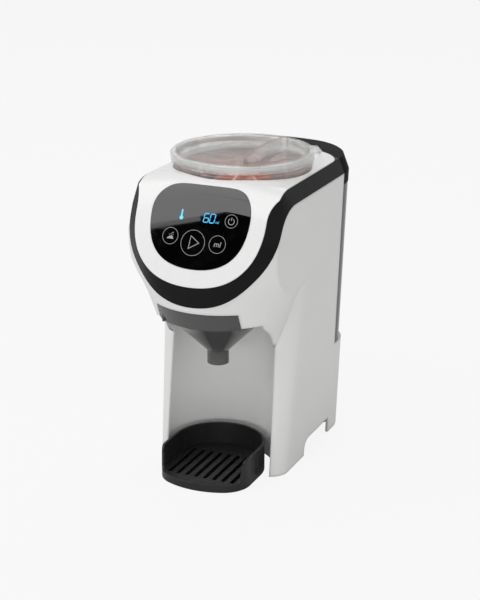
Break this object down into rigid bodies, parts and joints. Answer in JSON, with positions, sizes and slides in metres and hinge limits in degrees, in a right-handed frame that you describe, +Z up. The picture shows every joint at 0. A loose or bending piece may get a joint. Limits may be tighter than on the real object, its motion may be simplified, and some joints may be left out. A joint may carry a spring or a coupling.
{
  "type": "baby formula maker",
  "caption": "Counter-top baby formula maker: tilted touch face, clear powder hopper with stirring wheel, lift-out water tank, pull-out funnel and drip tray.",
  "frame": {"origin": "centre of the footprint on the table", "axes": "+X to the viewer's right, +Y to the back, +Z up; the touch face looks to -Y"},
  "size_m": [0.1548, 0.247, 0.311],
  "materials": {
    "housing": "grey-white moulded plastic",
    "trim_band": "black",
    "top_cover": "white moulded plastic",
    "control_panel": "black glossy touch panel",
    "display_module": "display",
    "key_pads": "conductive foam",
    "display_board": "circuit board",
    "hopper": "clear plastic",
    "hopper_lid": "clear plastic",
    "lid_seal": "silicone",
    "powder_wheel": "salmon plastic",
    "powder_scraper": "clear plastic",
    "hopper_well": "white plastic",
    "chassis": "grey plastic",
    "shaft_bush": "sintered bronze",
    "drive_shaft": "steel",
    "drive_gear": "acetal",
    "pinion": "brass",
    "gear_motor": "zinc plated steel",
    "motor_screws": "steel",
    "funnel": "smoke plastic",
    "funnel_guide": "plastic",
    "funnel_switch": "black plastic",
    "powder_chute": "plastic",
    "water_nozzle": "plastic",
    "water_tank": "smoke plastic",
    "tank_lid": "black",
    "tank_valve": "plastic",
    "valve_spring": "stainless steel",
    "tank_seat": "plastic",
    "seat_seal": "silicone",
    "water_pump": "plastic and steel",
    "pump_mounts": "rubber",
    "water_heater": "stainless steel",
    "heater_bracket": "steel",
    "thermostat": "plastic",
    "tank_hose": "silicone hose",
    "pump_hose": "silicone hose",
    "nozzle_hose": "silicone hose",
    "base_plate": "dark plastic",
    "rubber_feet": "rubber",
    "housing_screws": "steel",
    "main_board": "circuit board",
    "board_screws": "steel",
    "power_inlet": "black plastic",
    "drip_tray": "black plastic",
    "drip_grille": "black plastic"
  },
  "bodies": {
    "base": {"housing": "housing", "trim_band": "trim_band", "top_cover": "top_cover", "control_panel": "control_panel", "display_module": "display_module", "key_pads": "key_pads", "display_board": "display_board", "hopper_well": "hopper_well", "chassis": "chassis", "shaft_bush": "shaft_bush", "gear_motor": "gear_motor", "motor_screws": "motor_screws", "funnel_guide": "funnel_guide", "funnel_switch": "funnel_switch", "powder_chute": "powder_chute", "water_nozzle": "water_nozzle", "tank_seat": "tank_seat", "seat_seal": "seat_seal", "water_pump": "water_pump", "pump_mounts": "pump_mounts", "water_heater": "water_heater", "heater_bracket": "heater_bracket", "thermostat": "thermostat", "tank_hose": "tank_hose", "pump_hose": "pump_hose", "nozzle_hose": "nozzle_hose", "base_plate": "base_plate", "rubber_feet": "rubber_feet", "housing_screws": "housing_screws", "main_board": "main_board", "board_screws": "board_screws", "power_inlet": "power_inlet"},
    "hopper": {"hopper": "hopper", "powder_scraper": "powder_scraper"},
    "lid_seal": {"lid_seal": "lid_seal"},
    "hopper_lid": {"hopper_lid": "hopper_lid"},
    "powder_wheel": {"powder_wheel": "powder_wheel"},
    "drive": {"drive_shaft": "drive_shaft", "drive_gear": "drive_gear"},
    "pinion": {"pinion": "pinion"},
    "funnel": {"funnel": "funnel"},
    "drip_tray": {"drip_tray": "drip_tray"},
    "drip_grille": {"drip_grille": "drip_grille"},
    "water_tank": {"water_tank": "water_tank", "valve_spring": "valve_spring"},
    "tank_lid": {"tank_lid": "tank_lid"},
    "tank_valve": {"tank_valve": "tank_valve"}
  },
  "joints": [
    {"name": "hopper_lift", "type": "slide", "parent": "base", "child": "hopper", "axis": [0, 0, 1], "range_m": [0, 0.075]},
    {"name": "lid_lift", "type": "slide", "parent": "hopper", "child": "lid_seal", "axis": [0, 0, 1], "range_m": [0, 0.03]},
    {"name": "lid_twist", "type": "hinge", "parent": "lid_seal", "child": "hopper_lid", "pos_m": [0, -0.0011, 0.303], "axis": [0, 0, 1], "range_deg": [0, 20]},
    {"name": "wheel_spin", "type": "hinge", "parent": "hopper", "child": "powder_wheel", "pos_m": [0, -0.0011, 0.25], "axis": [0, 0, 1], "continuous": true},
    {"name": "drive_spin", "type": "hinge", "parent": "base", "child": "drive", "pos_m": [0, -0.0011, 0.22], "axis": [0, 0, 1], "continuous": true},
    {"name": "pinion_spin", "type": "hinge", "parent": "base", "child": "pinion", "pos_m": [0, 0.0364, 0.217], "axis": [0, 0, 1], "continuous": true},
    {"name": "funnel_slide", "type": "slide", "parent": "base", "child": "funnel", "axis": [0, -1, 0], "range_m": [0, 0.1]},
    {"name": "tray_slide", "type": "slide", "parent": "base", "child": "drip_tray", "axis": [0, -1, 0], "range_m": [0, 0.12]},
    {"name": "grille_lift", "type": "slide", "parent": "drip_tray", "child": "drip_grille", "axis": [0, 0, 1], "range_m": [0, 0.04]},
    {"name": "tank_lift", "type": "slide", "parent": "base", "child": "water_tank", "axis": [0, 0, 1], "range_m": [0, 0.19]},
    {"name": "tank_lid_lift", "type": "slide", "parent": "water_tank", "child": "tank_lid", "axis": [0, 0, 1], "range_m": [0, 0.03]},
    {"name": "valve_slide", "type": "slide", "parent": "water_tank", "child": "tank_valve", "axis": [0, 0, 1], "range_m": [0, 0.004], "stiffness_N_per_m": 20, "springref_m": -0.002, "deforming": ["valve_spring"]}
  ],
  "couplings": [
    {"joint": "wheel_spin", "follows": "drive_spin", "ratio": 1},
    {"joint": "pinion_spin", "follows": "drive_spin", "ratio": -4}
  ]
}
